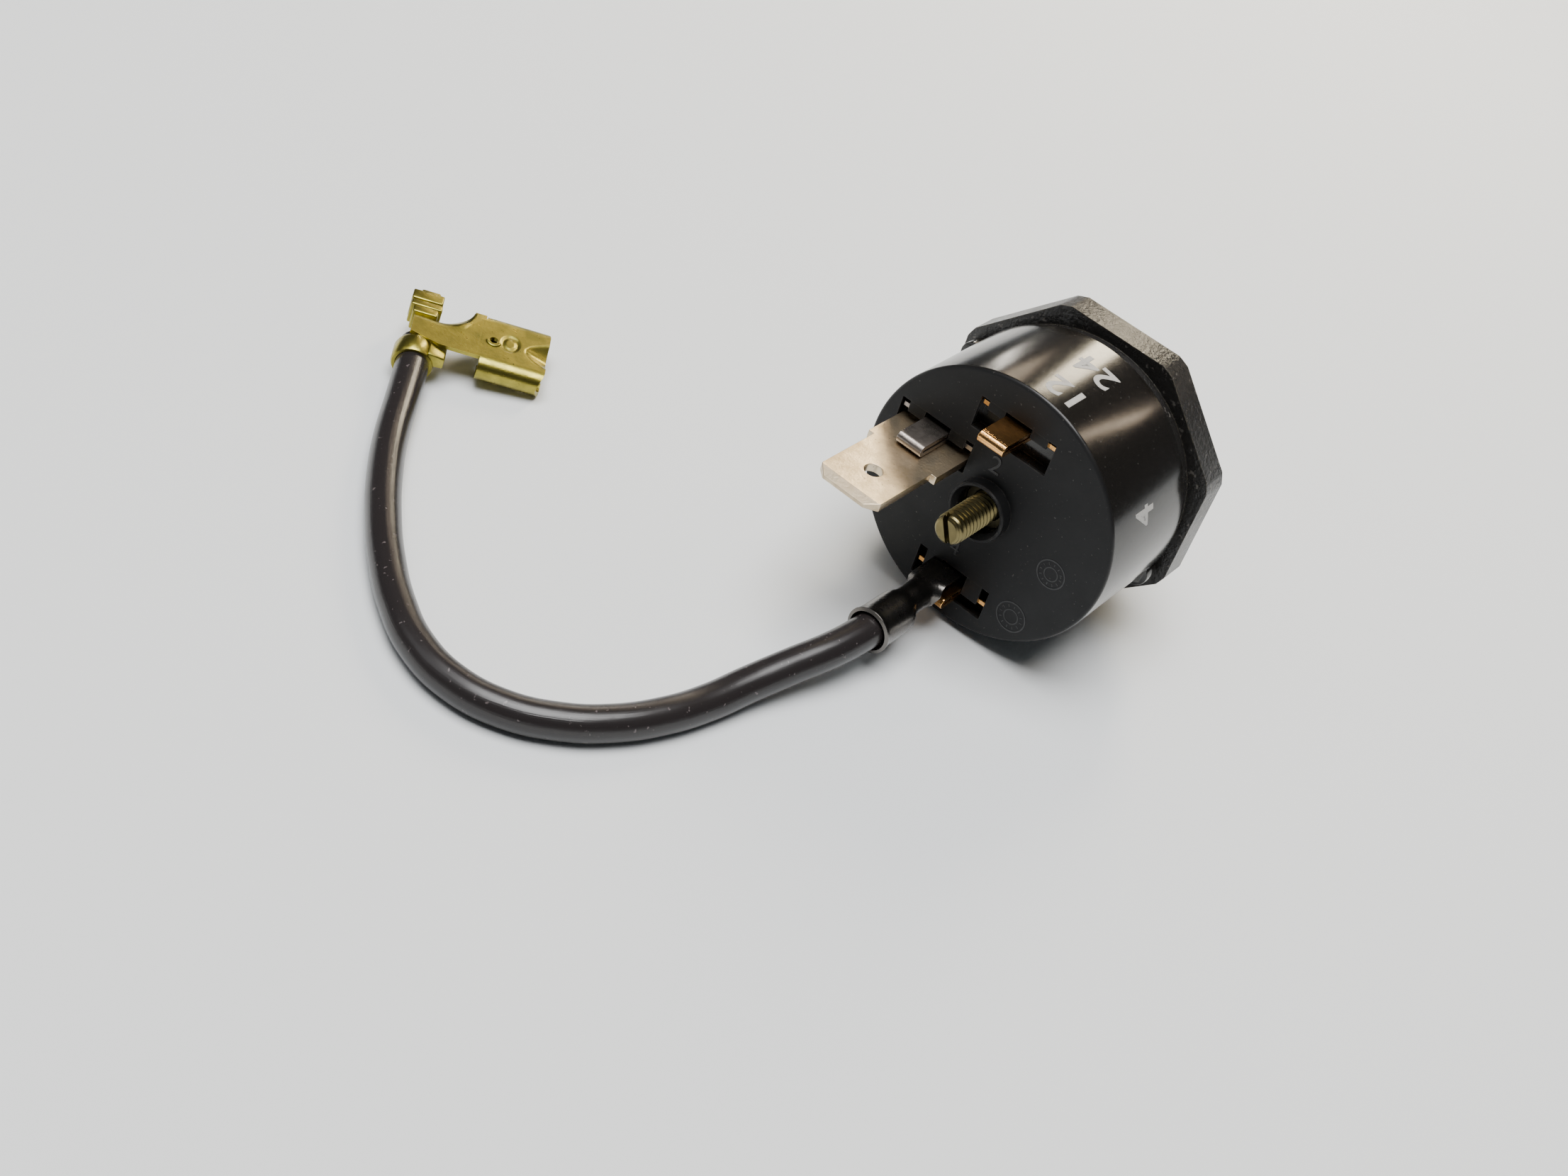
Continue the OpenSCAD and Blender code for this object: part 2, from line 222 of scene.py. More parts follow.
def boolean(bm, cutter, operation="DIFFERENCE"):
    """The bmesh with the cutter bmesh taken away from it, or added to it."""
    target, tool = mesh_of(bm), mesh_of(cutter)
    modifier = target.modifiers.new("cut", "BOOLEAN")
    modifier.object, modifier.operation, modifier.solver = tool, operation, "EXACT"
    evaluated = target.evaluated_get(bpy.context.evaluated_depsgraph_get())
    result = bmesh.new()
    result.from_mesh(evaluated.data)
    for obj in (target, tool):
        mesh = obj.data
        bpy.data.objects.remove(obj)
        bpy.data.meshes.remove(mesh)
    return result


def with_block(bm, low, high, operation="DIFFERENCE"):
    """The bmesh with a block between two corners taken away from it, or added to it."""
    block = bmesh.new()
    box(block, low, high)
    return boolean(bm, block, operation)


# %% [markdown]
# A thread is a zigzag outline spun with a rise of one pitch a turn, so that each turn meets the
# next. Two planes trim it, and each cut is capped.


# %% Threaded rod
CREST_FROM, CREST_TO = 0.42, 0.58  # where the flat crest lies, in pitches


def threaded(radius, depth, pitch, t0, t1, steps):
    """A bmesh of a threaded rod along t, with its crests at radius."""
    bm = bmesh.new()
    turns = math.ceil((t1 - t0) / pitch) + 2
    outline = []
    for i in range(turns):
        t = t0 + (i - 1.5) * pitch
        outline += [(radius - depth, t), (radius, t + CREST_FROM * pitch),
                    (radius, t + CREST_TO * pitch)]
    outline.append((radius - depth, t0 + (turns - 1.5) * pitch))
    verts = [bm.verts.new((r, t, 0)) for r, t in outline]
    edges = [bm.edges.new(pair) for pair in zip(verts, verts[1:])]
    bmesh.ops.spin(bm, geom=verts + edges, cent=(0, 0, 0), axis=(0, 1, 0), angle=TAU,
                   dvec=(0, pitch / steps, 0), steps=steps, use_merge=False,
                   use_duplicate=False)
    bmesh.ops.remove_doubles(bm, verts=bm.verts, dist=1e-3)
    for t, side in ((t0, -1), (t1, 1)):
        cut = bmesh.ops.bisect_plane(bm, geom=bm.verts[:] + bm.edges[:] + bm.faces[:],
                                     plane_co=(0, t, 0), plane_no=(0, side, 0),
                                     clear_outer=True, clear_inner=False)
        rim = [e for e in cut["geom_cut"] if isinstance(e, bmesh.types.BMEdge)]
        bmesh.ops.contextual_create(bm, geom=rim)
    bmesh.ops.recalc_face_normals(bm, faces=bm.faces)
    return bm


# %% [markdown]
# ## Shared surface effects
# Four effects make up the finishes: fine grain, worn edges (on metals, a painted highlight along
# the edges), streaks along the axis from the mould, and dust. Each is a shader node group with
# its own inputs, built once.


# %% Node shorthand
TENTH_MM = 0.0001  # in metres


class Nodes:
    """Adds nodes to a tree and links them, in one line each."""

    def __init__(self, tree):
        self.tree = tree

    def add(self, kind, settings=None, **inputs):
        node = self.tree.nodes.new(kind)
        for key, value in (settings or {}).items():
            setattr(node, key, value)
        for key, value in inputs.items():
            self.put(node, key.replace("_", " "), value)
        return node

    def put(self, node, key, value):
        socket = node.inputs[int(key) if key.isdigit() else key]
        if isinstance(value, bpy.types.NodeSocket):
            self.tree.links.new(value, socket)
        else:
            socket.default_value = value

    def math(self, operation, a, b=0.0, clamp=False):
        node = self.add("ShaderNodeMath", {"operation": operation, "use_clamp": clamp})
        self.put(node, "0", a)
        self.put(node, "1", b)
        return node.outputs[0]

    def ramp(self, value, low, high, out_low=0.0, out_high=1.0):
        node = self.add("ShaderNodeMapRange", Value=value)
        for key, number in zip(("From Min", "From Max", "To Min", "To Max"),
                               (low, high, out_low, out_high)):
            node.inputs[key].default_value = number
        return node.outputs[0]

    def mix(self, factor, a, b):
        node = self.add("ShaderNodeMix", {"data_type": "RGBA"})
        self.put(node, "0", factor)
        self.put(node, "6", a)
        self.put(node, "7", b)
        return node.outputs[2]

    def noise(self, vector, scale, detail=3.0, roughness=0.5):
        return self.add("ShaderNodeTexNoise", Vector=vector, Scale=scale, Detail=detail,
                        Roughness=roughness).outputs[0]


def group(name, inputs, outputs):
    """An empty node group with float inputs: its tree, its shorthand and its two end nodes."""
    tree = bpy.data.node_groups.new(name, "ShaderNodeTree")
    for label, default in inputs:
        socket = tree.interface.new_socket(label, in_out="INPUT", socket_type="NodeSocketFloat")
        socket.default_value = default
    for label, kind in outputs:
        tree.interface.new_socket(label, in_out="OUTPUT", socket_type=kind)
    n = Nodes(tree)
    return tree, n, tree.nodes.new("NodeGroupInput"), tree.nodes.new("NodeGroupOutput")


# %% [markdown]
# Grain is what a sand-blasted mould or rolled sheet leaves: a very fine height, and a coarser
# cloudiness in the gloss. Both come from noise on Object coordinates. The depth is in tenths of
# a millimetre.

# %% Grain group
grain, n, gin, gout = group(
    "grain", [("Scale", 3000), ("Depth", 0.1), ("Spread", 0.1), ("Base Roughness", 0.4)],
    [("Normal", "NodeSocketVector"), ("Roughness", "NodeSocketFloat"),
     ("Mask", "NodeSocketFloat")])
where = n.add("ShaderNodeTexCoord").outputs["Object"]
fine = n.noise(where, gin.outputs["Scale"], 4, 0.6)
cloud = n.noise(where, n.math("MULTIPLY", gin.outputs["Scale"], 0.13), 4, 0.6)
deep = n.math("MULTIPLY", gin.outputs["Depth"], TENTH_MM)
bump = n.add("ShaderNodeBump", Height=fine, Strength=1.0, Distance=deep)
spread = n.math("MULTIPLY", n.math("SUBTRACT", cloud, 0.5), gin.outputs["Spread"])
n.put(gout, "Normal", bump.outputs[0])
n.put(gout, "Roughness", n.math("ADD", gin.outputs["Base Roughness"], spread, True))
n.put(gout, "Mask", cloud)
print("group:", grain.name)

# %% [markdown]
# The edge mask compares the true normal with one that is rounded over the nearest edges. Where the
# two differ, the surface is close to an edge, and a little noise breaks the line up. Plastics use
# it for worn edges, and metals use it for a painted highlight along their edges.

# %% Edge wear and sheen group
wear_and_sheen, n, gin, gout = group("edge_wear_and_sheen", [("Radius", 0.15 * MM), ("Amount", 1.0), ("Scale", 2500)],
                           [("Mask", "NodeSocketFloat")])
rounded = n.add("ShaderNodeBevel", {"samples": 4}, Radius=gin.outputs["Radius"]).outputs[0]
true = n.add("ShaderNodeNewGeometry").outputs["Normal"]
dot = n.add("ShaderNodeVectorMath", {"operation": "DOT_PRODUCT"})
n.put(dot, "0", rounded)
n.put(dot, "1", true)
edge = n.math("SUBTRACT", 1.0, dot.outputs["Value"])
where = n.add("ShaderNodeTexCoord").outputs["Object"]
broken = n.ramp(n.noise(where, gin.outputs["Scale"], 4), 0.35, 0.65)
amount = n.math("MULTIPLY", n.ramp(edge, 0.01, 0.12), gin.outputs["Amount"])
n.put(gout, "Mask", n.math("MULTIPLY", amount, broken, True))
print("group:", wear_and_sheen.name)

# %% [markdown]
# The mould was polished along its length, which drags every highlight on the round side into
# long broken streaks. The noise is read by angle round the axis and hardly at all along it.

# %% Streak group
streak, n, gin, gout = group("axial_streaks", [("Scale", 60), ("Stretch", 60), ("Depth", 0.3)],
                             [("Normal", "NodeSocketVector"), ("Mask", "NodeSocketFloat")])
where = n.add("ShaderNodeTexCoord").outputs["Object"]
axes = n.add("ShaderNodeSeparateXYZ", Vector=where)
turned = n.math("ARCTAN2", axes.outputs["Z"], axes.outputs["X"])
along = n.math("MULTIPLY", axes.outputs["Y"], gin.outputs["Stretch"])
flat = n.add("ShaderNodeCombineXYZ", X=turned, Y=along)
lines = n.noise(flat.outputs[0], gin.outputs["Scale"], 6, 0.65)
bump = n.add("ShaderNodeBump", Height=lines, Strength=gin.outputs["Depth"], Distance=TENTH_MM)
n.put(gout, "Normal", bump.outputs[0])
n.put(gout, "Mask", lines)
print("group:", streak.name)

# %% [markdown]
# Dust and small scratches are rare pale specks. A high threshold on a fine noise leaves only
# its peaks, and a narrow ramp above it softens their rims.

# %% Dust group
speck_rim = 0.06
dust, n, gin, gout = group("dust", [("Scale", 1800), ("Share", 0.7)],
                           [("Mask", "NodeSocketFloat")])
where = n.add("ShaderNodeTexCoord").outputs["Object"]
specks = n.noise(where, gin.outputs["Scale"], 2, 0.5)
top = n.math("ADD", gin.outputs["Share"], speck_rim)
peak = n.add("ShaderNodeMapRange", Value=specks)
n.put(peak, "From Min", gin.outputs["Share"])
n.put(peak, "From Max", top)
n.put(gout, "Mask", peak.outputs[0])
print("group:", dust.name)


# %% [markdown]
# ## Finishes
# The plain plastics share one function and the metals another. They differ in colour, in grain
# and in how far they are worn or tarnished; some metals also get a painted highlight along their
# edges. The housing and the lead each have their own.


# %% Start a material
def start(name, color, roughness, metallic=0.0, specular=0.5, coat=0.0, coat_roughness=0.1):
    """A material, its node shorthand and its Principled shader."""
    material = bpy.data.materials.new(name)
    material.use_nodes = True
    material.diffuse_color = (*color, 1)
    n = Nodes(material.node_tree)
    shader = material.node_tree.nodes["Principled BSDF"]
    shader.inputs["Base Color"].default_value = (*color, 1)
    shader.inputs["Roughness"].default_value = roughness
    shader.inputs["Metallic"].default_value = metallic
    shader.inputs["Specular IOR Level"].default_value = specular
    shader.inputs["Coat Weight"].default_value = coat
    shader.inputs["Coat Roughness"].default_value = coat_roughness
    return material, n, shader


def use(n, tree, **inputs):
    """Places a node group in a material with its own values."""
    return n.add("ShaderNodeGroup", {"node_tree": tree}, **inputs)


def dusted(n, base, share, weight, color, scale=1800.0):
    """The base colour with dust of another colour over it."""
    specks = use(n, dust, Scale=scale, Share=share)
    return n.mix(n.math("MULTIPLY", specks.outputs["Mask"], weight), base, (*color, 1))


def moulded(name, color, roughness, depth=0.15, specks=0.72, scale=2600, worn=(0.05, 0.05, 0.05)):
    """Plain plastic, rubber or ink: fine grain, worn edges and a little dust."""
    material, n, shader = start(name, color, roughness)
    skin = use(n, grain, Scale=scale, Depth=depth, Spread=0.25, Base_Roughness=roughness)
    edges = use(n, wear_and_sheen, Radius=0.18 * MM, Amount=0.6)
    base = n.mix(edges.outputs["Mask"], (*color, 1), (*worn, 1))
    n.put(shader, "Base Color", dusted(n, base, specks, 0.35, (0.22, 0.2, 0.18)))
    n.put(shader, "Roughness", skin.outputs["Roughness"])
    n.put(shader, "Normal", skin.outputs["Normal"])
    return material


def metal(name, color, tarnish, roughness, scale=2500, depth=0.2, spread=0.3, amount=0.5,
          edge_highlight=0.0):
    """Sheet or turned metal: cloudy tarnish over a clean colour, with grain in the gloss."""
    material, n, shader = start(name, color, roughness, metallic=1.0)
    skin = use(n, grain, Scale=scale, Depth=depth, Spread=spread, Base_Roughness=roughness)
    clouds = n.ramp(skin.outputs["Mask"], 0.38, 0.68, 0.0, amount)
    base = n.mix(clouds, (*color, 1), (*tarnish, 1))
    base = dusted(n, base, 0.68, 0.5, [c * 0.35 for c in tarnish], 3200.0)
    # Painted highlight: the metal is made lighter along its sharp edges, where highlights sit.
    if edge_highlight:
        edges = use(n, wear_and_sheen, Radius=0.12 * MM, Amount=edge_highlight)
        highlight_color = [min(1, c * 1.25) for c in color]
        base = n.mix(edges.outputs["Mask"], base, (*highlight_color, 1))
    n.put(shader, "Base Color", base)
    n.put(shader, "Roughness", skin.outputs["Roughness"])
    n.put(shader, "Normal", skin.outputs["Normal"])
    return material


# %% [markdown]
# The housing is one moulding with two finishes: a matt end face, and a polished side with
# streaks. The face is told apart by its depth, and a soft step joins the two at the rim.

# %% Housing finish
def housing_finish():
    material, n, shader = start("housing_black", (0.012, 0.012, 0.013), 0.25, specular=0.22,
                                coat_roughness=0.15)
    place = n.add("ShaderNodeSeparateXYZ", Vector=n.add("ShaderNodeTexCoord").outputs["Object"])
    side = n.ramp(place.outputs["Y"], face_y + 0.05 * MM, face_y + 0.4 * MM)
    matt = use(n, grain, Scale=3200.0, Depth=0.06, Spread=0.3, Base_Roughness=0.48)
    polish = use(n, streak, Scale=26.0, Stretch=45.0, Depth=0.10)
    glossy = n.ramp(polish.outputs["Mask"], 0.3, 0.7, 0.14, 0.24)
    rough = n.add("ShaderNodeMix", {"data_type": "FLOAT"})
    n.put(rough, "0", side)
    n.put(rough, "2", matt.outputs["Roughness"])
    n.put(rough, "3", glossy)
    normal = n.add("ShaderNodeMix", {"data_type": "VECTOR"})
    n.put(normal, "0", side)
    n.put(normal, "4", matt.outputs["Normal"])
    n.put(normal, "5", polish.outputs["Normal"])
    n.put(shader, "Coat Weight", n.math("MULTIPLY", side, 0.6))
    edges = use(n, wear_and_sheen, Radius=0.2 * MM, Amount=0.5)
    base = n.mix(side, (0.009, 0.009, 0.0095, 1), (0.007, 0.006, 0.005, 1))
    base = n.mix(edges.outputs["Mask"], base, (0.07, 0.068, 0.06, 1))
    n.put(shader, "Base Color", dusted(n, base, 0.7, 0.3, (0.2, 0.19, 0.17), 4200.0))
    n.put(shader, "Roughness", rough.outputs[0])
    n.put(shader, "Normal", normal.outputs[1])
    return material


housing_black = housing_finish()
flange_black = moulded("flange_black", (0.014, 0.013, 0.012), 0.29, depth=0.9, scale=2600,
                       specks=0.66, worn=(0.16, 0.14, 0.10))
cap_black = moulded("cap_black", (0.012, 0.012, 0.013), 0.24, depth=0.1)
digit_black = moulded("digit_black", (0.012, 0.012, 0.0125), 0.42)
print_white = moulded("print_white", (0.40, 0.39, 0.37), 0.6, depth=0.2, specks=0.6, scale=4000)
port_brass = metal("port_brass", (0.78, 0.60, 0.30), (0.50, 0.36, 0.18), 0.28, depth=0.06)
screw_brass = metal("screw_brass", (0.20, 0.165, 0.075), (0.085, 0.08, 0.045), 0.30, depth=0.1,
                    edge_highlight=0.6)
# The bush's clean and tarnish colours are both near black: painted shade for the deep hole round
# the adjusting screw.
bush_brass_painted_shade = metal("bush_brass_painted_shade", (0.07, 0.06, 0.035), (0.03, 0.027, 0.02), 0.5)
inner_brass = metal("inner_brass", (0.80, 0.62, 0.30), (0.6, 0.45, 0.22), 0.25)
flag_brass = metal("flag_brass", (0.38, 0.325, 0.06), (0.15, 0.135, 0.03), 0.31, scale=3600,
                   depth=0.16, spread=0.3, amount=0.8, edge_highlight=0.9)
tab_tin = metal("tab_tin", (0.72, 0.60, 0.43), (0.40, 0.30, 0.18), 0.35, scale=4200, depth=0.2,
                amount=0.75)
strip_nickel = metal("strip_nickel", (0.52, 0.46, 0.41), (0.22, 0.18, 0.16), 0.30,
                     edge_highlight=0.9)
strip_copper = metal("strip_copper", (0.94, 0.50, 0.17), (0.66, 0.30, 0.10), 0.20,
                     edge_highlight=0.9)
crimp_tin = metal("crimp_tin", (0.16, 0.15, 0.14), (0.08, 0.07, 0.06), 0.26, edge_highlight=1.0)
strand_copper = metal("strand_copper", (0.80, 0.42, 0.20), (0.45, 0.22, 0.1), 0.3)
spring_steel = metal("spring_steel", (0.55, 0.55, 0.56), (0.35, 0.34, 0.33), 0.25)
contact_silver = metal("contact_silver", (0.86, 0.85, 0.82), (0.6, 0.58, 0.54), 0.22)
blade_bronze = metal("blade_bronze", (0.78, 0.48, 0.26), (0.55, 0.3, 0.15), 0.27)
piston_alloy = metal("piston_alloy", (0.74, 0.74, 0.74), (0.5, 0.5, 0.5), 0.35)
collar_plastic = moulded("collar_plastic", (0.62, 0.58, 0.48), 0.42, worn=(0.8, 0.76, 0.66))
rubber_black = moulded("rubber_black", (0.02, 0.019, 0.018), 0.62, depth=0.5)
washer_fibre = moulded("washer_fibre", (0.24, 0.07, 0.04), 0.66, depth=0.9, scale=900,
                       worn=(0.34, 0.12, 0.08))
print("finishes:", len(bpy.data.materials))


# %% [markdown]
# The lead's skin is soft extruded PVC: black, fairly glossy, with faint lengthwise draw lines
# and a slightly wavy surface. The lines follow the lead, so they read its own UV map.

# %% Lead finish
def lead_finish():
    black = (0.018, 0.015, 0.015)
    material, n, shader = start("lead_pvc_black", black, 0.26)
    uv = n.add("ShaderNodeUVMap", {"uv_map": "UVMap"})
    stretched = n.add("ShaderNodeMapping", Vector=uv.outputs[0], Scale=(4.0, 40.0, 1.0))
    lines = n.noise(stretched.outputs[0], 3.0, 4, 0.6)
    skin = use(n, grain, Scale=700.0, Depth=0.12, Spread=0.2, Base_Roughness=0.22)
    bump = n.add("ShaderNodeBump", Height=lines, Strength=0.15, Distance=TENTH_MM,
                 Normal=skin.outputs["Normal"])
    base = dusted(n, (*black, 1), 0.68, 0.4, (0.24, 0.2, 0.2), 2200.0)
    n.put(shader, "Base Color", base)
    n.put(shader, "Roughness", skin.outputs["Roughness"])
    n.put(shader, "Normal", bump.outputs[0])
    return material


lead_pvc_black = lead_finish()
print("finish:", lead_pvc_black.name)

# %% [markdown]
# ## The lead
# The lead is shown from end to end: one short piece of equipment wire, 3.1 mm thick, from the
# crimp at terminal 4 to the flag receptacle. It leaves the crimp level, drops to the floor, lies
# in one wide bend, and its end is held a little up by the crimped receptacle. A Bezier curve
# with automatic handles runs through the same points as the CAD tube.

# %% Lead
lead_r = 1.55
lead_route = [
    # x, t, z, from the crimp to the receptacle
    (-1, -7.2, -9.3), (-1, -10.8, -9.3), (-1.5, -14.5, -9.7), (-2.7, -18.7, -10.4),
    (-3.8, -22.6, -11.1), (-4.6, -26.4, -11.5), (-5.7, -30.4, -11.5), (-7.6, -34.4, -11.5),
    (-10.3, -37.8, -11.5), (-13.9, -40.4, -11.5), (-18.2, -41.6, -11.5), (-22.7, -41.2, -11.5),
    (-27.1, -39.4, -11.5), (-31.5, -36.7, -11.5), (-35.8, -33.4, -11.5), (-39.8, -29.8, -11.5),
    (-43.5, -25.9, -11.5), (-46.7, -21.95, -11.4), (-49.9, -18, -11.1),
    (-52.05, -15.5, -10.9)]
route = [at_face(*p) for p in lead_route]
curve = bpy.data.curves.new("lead_skin", "CURVE")
curve.dimensions = "3D"
curve.bevel_depth = lead_r * MM
curve.bevel_resolution = 10
curve.resolution_u = 10
curve.use_fill_caps = True
spline = curve.splines.new("BEZIER")
spline.bezier_points.add(len(route) - 1)
for point, place in zip(spline.bezier_points, route):
    point.co = place
    point.handle_left_type = point.handle_right_type = "AUTO"
curve.materials.append(lead_pvc_black)
lead_skin = bpy.data.objects.new("lead_skin", curve)
bpy.context.scene.collection.objects.link(lead_skin)
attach(lead_skin, "switch")
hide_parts("lead_wire")

# %% [markdown]
# ## Housing
# The housing is a turned outline with pockets cut into its end face. The raised ring in the
# middle carries the adjusting screw. Small lugs near the back lock the flange on. Each pocket
# has a slit for its strip. Thin black webs over the middle of the strip's two wings are painted
# shade: dark plastic put where the pocket lies in shadow, so only the wings' ends show.

# %% Housing shell
pocket_w, pocket_h, pocket_deep = 7.7, 3.1, 1.2
inner_r, face_wall, rim_round = 11.2, 2.6, 0.35
boss_r, boss_foot_r, bush_r = 2.75, 3.6, 2.15
lug_r, lug_at_r = 1.3, 11.9
pockets = [(-6.8, 3.2), (0, 7.8), (-0.3, -8.8)]  # middle of each, in x and z
strips = [(-6.8, 3.1), (0, 7.9), (-0.3, -9.8)]  # middle in x and lower side in z
strip_w, fold_h, sheet = 2.6, 1.1, 0.45
wing_x, shade_web_half = 2.2, 0.85

shell = bmesh.new()
outline = ([(0, 0)]
           + [(housing_r - rim_round + x, t) for x, t in arc(0, rim_round, rim_round, -90, 0, 4)]
           + [(housing_r, housing_len - 0.15), (housing_r - 0.15, housing_len),
              (inner_r, housing_len), (inner_r, face_wall), (0, face_wall)])
lathe(shell, outline, steps=128)
boss = bmesh.new()
lathe(boss, [(0, 4.6), (boss_foot_r, 4.6), (boss_foot_r, 2.0), (boss_r, 2.0), (boss_r, -1.15),
             (boss_r - 0.1, -BOSS_RISE), (0, -BOSS_RISE)], steps=64)
shell = boolean(shell, boss, "UNION")
for angle in (157.5, -22.5):
    lug = bmesh.new()
    turned = math.radians(angle)
    rod(lug, (lug_at_r * math.cos(turned), lug_at_r * math.sin(turned)), lug_r, 10.9, 12.5)
    bmesh.ops.bevel(lug, geom=lug.edges[:], offset=0.25, offset_type="OFFSET",
                    segments=3, profile=0.5, affect="EDGES", material=-1, clamp_overlap=True)
    shell = boolean(shell, lug, "UNION")
bush_hole = bmesh.new()
lathe(bush_hole, [(0, -3), (2.5, -3), (2.5, -BOSS_RISE), (bush_r, -0.7), (bush_r, 6), (0, 6)],
      steps=64)
shell = boolean(shell, bush_hole)
for (px, pz), (sx, sz) in zip(pockets, strips):
    shell = with_block(shell, (px - pocket_w / 2, -1, pz - pocket_h / 2),
                       (px + pocket_w / 2, pocket_deep, pz + pocket_h / 2))
    shell = with_block(shell, (sx - strip_w / 2, 0, sz),
                       (sx + strip_w / 2, face_wall + 1, sz + fold_h))
blade_slit = (-8.1, 0, 2.2), (-5.5, face_wall + 1, 3.0)
shell = with_block(shell, *blade_slit)
# Painted shade: black webs over the middle of each wing, where the pocket lies in shadow.
for (px, pz), (sx, sz) in zip(pockets, strips):
    for middle in (sx - wing_x, sx + wing_x):
        shell = with_block(shell, (middle - shade_web_half, 0.06, sz + fold_h - sheet - 0.08),
                           (middle + shade_web_half, 0.33, pz + pocket_h / 2 + 0.02), "UNION")
housing_shell = piece(shell, "housing_shell", housing_black, "switch",
                      ["housing"], angle=25)
soften(housing_shell, 0.09, 2, 40)

# %% [markdown]
# The locking flange is an octagonal plate. Its CAD solid is already right, so a merged copy of it
# is taken, the flat triangles are joined, and a live Bevel rounds every sharp edge. The same is
# done to seven more nodes, because a highlight needs an edge to sit on.


# %% Copy a node and round it
def copy_node(name):
    """A merged copy of a CAD node, in millimetres from the face, with flat triangles joined."""
    bm = bmesh.new()
    bm.from_mesh(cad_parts[name].data)
    bmesh.ops.transform(bm, matrix=FROM_FACE.inverted(), verts=bm.verts)
    bmesh.ops.remove_doubles(bm, verts=bm.verts, dist=1e-3)
    bmesh.ops.dissolve_limit(bm, angle_limit=math.radians(1), verts=bm.verts, edges=bm.edges,
                             delimit={"NORMAL"})
    return bm


rounded = [
    # node, finish, slot, edge width, Bevel segments
    ("flange_plate", flange_black, "flange_plastic", 0.22, 3),
    ("rear_cap", cap_black, "flange_plastic", 0.15, 2),
    ("port_washer", washer_fibre, "fibre", 0.1, 2),
    ("terminal_1_tab", tab_tin, "tinned_brass", 0.05, 2),
    ("terminal_2_strip", strip_copper, "copper", 0.06, 2),
    ("terminal_4_strip", strip_copper, "copper", 0.06, 2),
    ("threaded_bush", bush_brass_painted_shade, "brass", 0.08, 2),
    ("push_collar", collar_plastic, "pale_plastic", 0.1, 2)]
for name, finish, slot, width, segments in rounded:
    body = "piston" if name == "push_collar" else "switch"
    copied = piece(copy_node(name), name + "_rounded", finish, body, [name], angle=30)
    soften(copied, width, segments, 35)

# %% [markdown]
# Terminal 1 is a strip folded double over the blade. A stamping tool left a shallow U on its top,
# which is cut here as a ring of half a turn with two legs.

# %% Strip of terminal 1
strip_top = strips[0][1] + fold_h
mark_x, mark_t = strips[0][0] + 0.1, -2.1
mark_outer, mark_inner, mark_length = 0.78, 0.52, 1.25  # two radii, and the stretch along t
strip = copy_node("terminal_1_strip")
up = Matrix.Translation((mark_x, mark_t, strip_top)) @ Matrix.Diagonal((1, mark_length, 1, 1))
mark = bmesh.new()
cylinder(mark, mark_outer, 0.24, up)
island = bmesh.new()
cylinder(island, mark_inner, 0.5, up)
box(island, (mark_x - 1, mark_t + 0.45, strip_top - 1), (mark_x + 1, mark_t + 2, strip_top + 1))
strip = boolean(strip, boolean(mark, island))
soften(piece(strip, "terminal_1_strip_stamped", strip_nickel, "switch",
             ["terminal_1_strip"], angle=30), 0.07, 2, 35)

# %% [markdown]
# ## Adjusting screw
# A brass stud of 2.8 mm with a screwdriver slot. The thread is trimmed by a bullet-shaped outline,
# which gives the tip its chamfer, and the slot is milled last.

# %% Adjusting screw
screw_r, screw_tip, screw_end = 1.4, -5.5, 5.87
thread_depth, thread_pitch = 0.30, 0.5
slot_half, slot_deep, slot_turn = 0.25, 1.1, math.radians(-27)
clear_r = screw_r + 0.05

screw = threaded(screw_r, thread_depth, thread_pitch, screw_tip + 0.02, screw_end, steps=36)
bullet = bmesh.new()
lathe(bullet, [(0, screw_tip), (1.0, screw_tip), (1.22, screw_tip + 0.12),
               (1.31, screw_tip + 0.4), (clear_r, screw_tip + 0.75), (clear_r, screw_end + 1),
               (0, screw_end + 1)], steps=48)
screw = boolean(screw, bullet, "INTERSECT")
slot_cut = bmesh.new()
box(slot_cut, (-slot_half, screw_tip - 1, -3), (slot_half, screw_tip + slot_deep, 3))
bmesh.ops.rotate(slot_cut, cent=(0, 0, 0), matrix=Matrix.Rotation(slot_turn, 3, "Y"),
                 verts=slot_cut.verts)
piece(boolean(screw, slot_cut), "screw_thread", screw_brass, "screw",
      ["adjusting_screw"], angle=28)

# %% [markdown]
# ## Port fitting
# The brass fitting shows behind the cap as a hexagon and a pipe thread with a small bore. A hexagon
# is a six-sided cylinder; its chamfer comes from keeping only what lies in a turned blank.

# %% Port fitting
hex_t, washer_t, seat_t, port_end = 19.0, 21.4, 22.2, 28.2
bore_r, hex_half = 1.5, 7.0
port_r, port_thread_depth, port_pitch = 4.864, 0.56, 0.907


def bored(bm):
    """The bmesh with the pressure inlet drilled through it."""
    drill = bmesh.new()
    rod(drill, (0, 0), bore_r, 15, port_end + 1)
    return boolean(bm, drill)


hexagon = bmesh.new()
rod(hexagon, (0, 0), hex_half / math.cos(math.radians(30)), hex_t, washer_t, sides=6)
blank = bmesh.new()
lathe(blank, [(0, hex_t - 0.1), (7.1, hex_t - 0.1), (7.6, hex_t + 0.35), (7.6, washer_t - 0.5),
              (6.95, washer_t), (0, washer_t)], steps=96)
hexagon = bored(boolean(hexagon, blank, "INTERSECT"))
thread = threaded(port_r, port_thread_depth, port_pitch, seat_t - 0.75, port_end, steps=64)
blank = bmesh.new()
lathe(blank, [(0, washer_t - 0.1), (4.2, washer_t - 0.1), (4.2, seat_t + 0.25),
              (4.9, seat_t + 0.75), (4.9, port_end - 0.8), (4.15, port_end), (0, port_end)],
      steps=96)
thread = bored(boolean(thread, blank, "INTERSECT"))
shank = bmesh.new()
